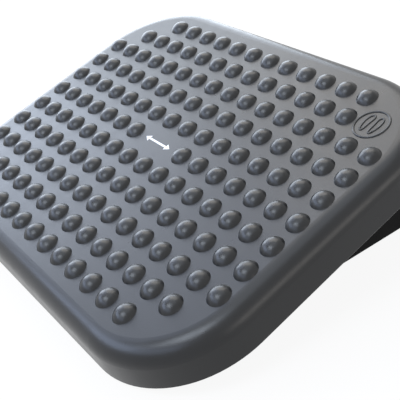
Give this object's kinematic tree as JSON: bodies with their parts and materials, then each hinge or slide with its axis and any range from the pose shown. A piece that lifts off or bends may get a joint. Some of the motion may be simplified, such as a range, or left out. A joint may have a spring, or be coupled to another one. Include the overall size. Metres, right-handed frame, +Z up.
{
  "type": "footrest",
  "caption": "Tilting under-desk footrest: a rounded moulded platform covered in dome bumps pivots on friction hinges above a low wall-sided base on rubber feet.",
  "frame": {"origin": "on the floor, under the middle of the object at its rest tilt", "axes": "+X to the user's right, user at -Y, +Z up"},
  "size_m": [0.4448, 0.3217, 0.1274],
  "materials": {
    "platform_plastic": "satin charcoal moulding with a fine texture",
    "base_plastic": "near-black moulding, smooth satin",
    "bracket_steel": "zinc-plated pressed steel",
    "hardware_steel": "zinc-plated fasteners",
    "bush_plastic": "natural acetal",
    "friction_fibre": "vulcanised fibre",
    "foot_rubber": "matt rubber"
  },
  "bodies": {
    "base": {"cross_rail_screws": "hardware_steel", "front_cross_rail": "base_plastic", "front_left_foot": "foot_rubber", "front_right_foot": "foot_rubber", "left_base_side": "base_plastic", "left_flat_washer": "hardware_steel", "left_friction_washer": "friction_fibre", "left_lock_nut": "hardware_steel", "left_pivot_bolt": "hardware_steel", "left_spring_washer": "hardware_steel", "left_stop_pin": "hardware_steel", "rear_cross_rail": "base_plastic", "rear_left_foot": "foot_rubber", "rear_right_foot": "foot_rubber", "right_base_side": "base_plastic", "right_flat_washer": "hardware_steel", "right_friction_washer": "friction_fibre", "right_lock_nut": "hardware_steel", "right_pivot_bolt": "hardware_steel", "right_spring_washer": "hardware_steel", "right_stop_pin": "hardware_steel"},
    "tilting_platform": {"platform": "platform_plastic", "bracket_screws": "hardware_steel", "left_hinge_bracket": "bracket_steel", "right_hinge_bracket": "bracket_steel", "left_pivot_bush": "bush_plastic", "right_pivot_bush": "bush_plastic"}
  },
  "joints": [
    {"name": "platform_tilt", "type": "hinge", "parent": "base", "child": "tilting_platform", "pos_m": [0, 0.00251, 0.05], "axis": [1, 0, 0], "range_deg": [-16.5, 0]}
  ]
}
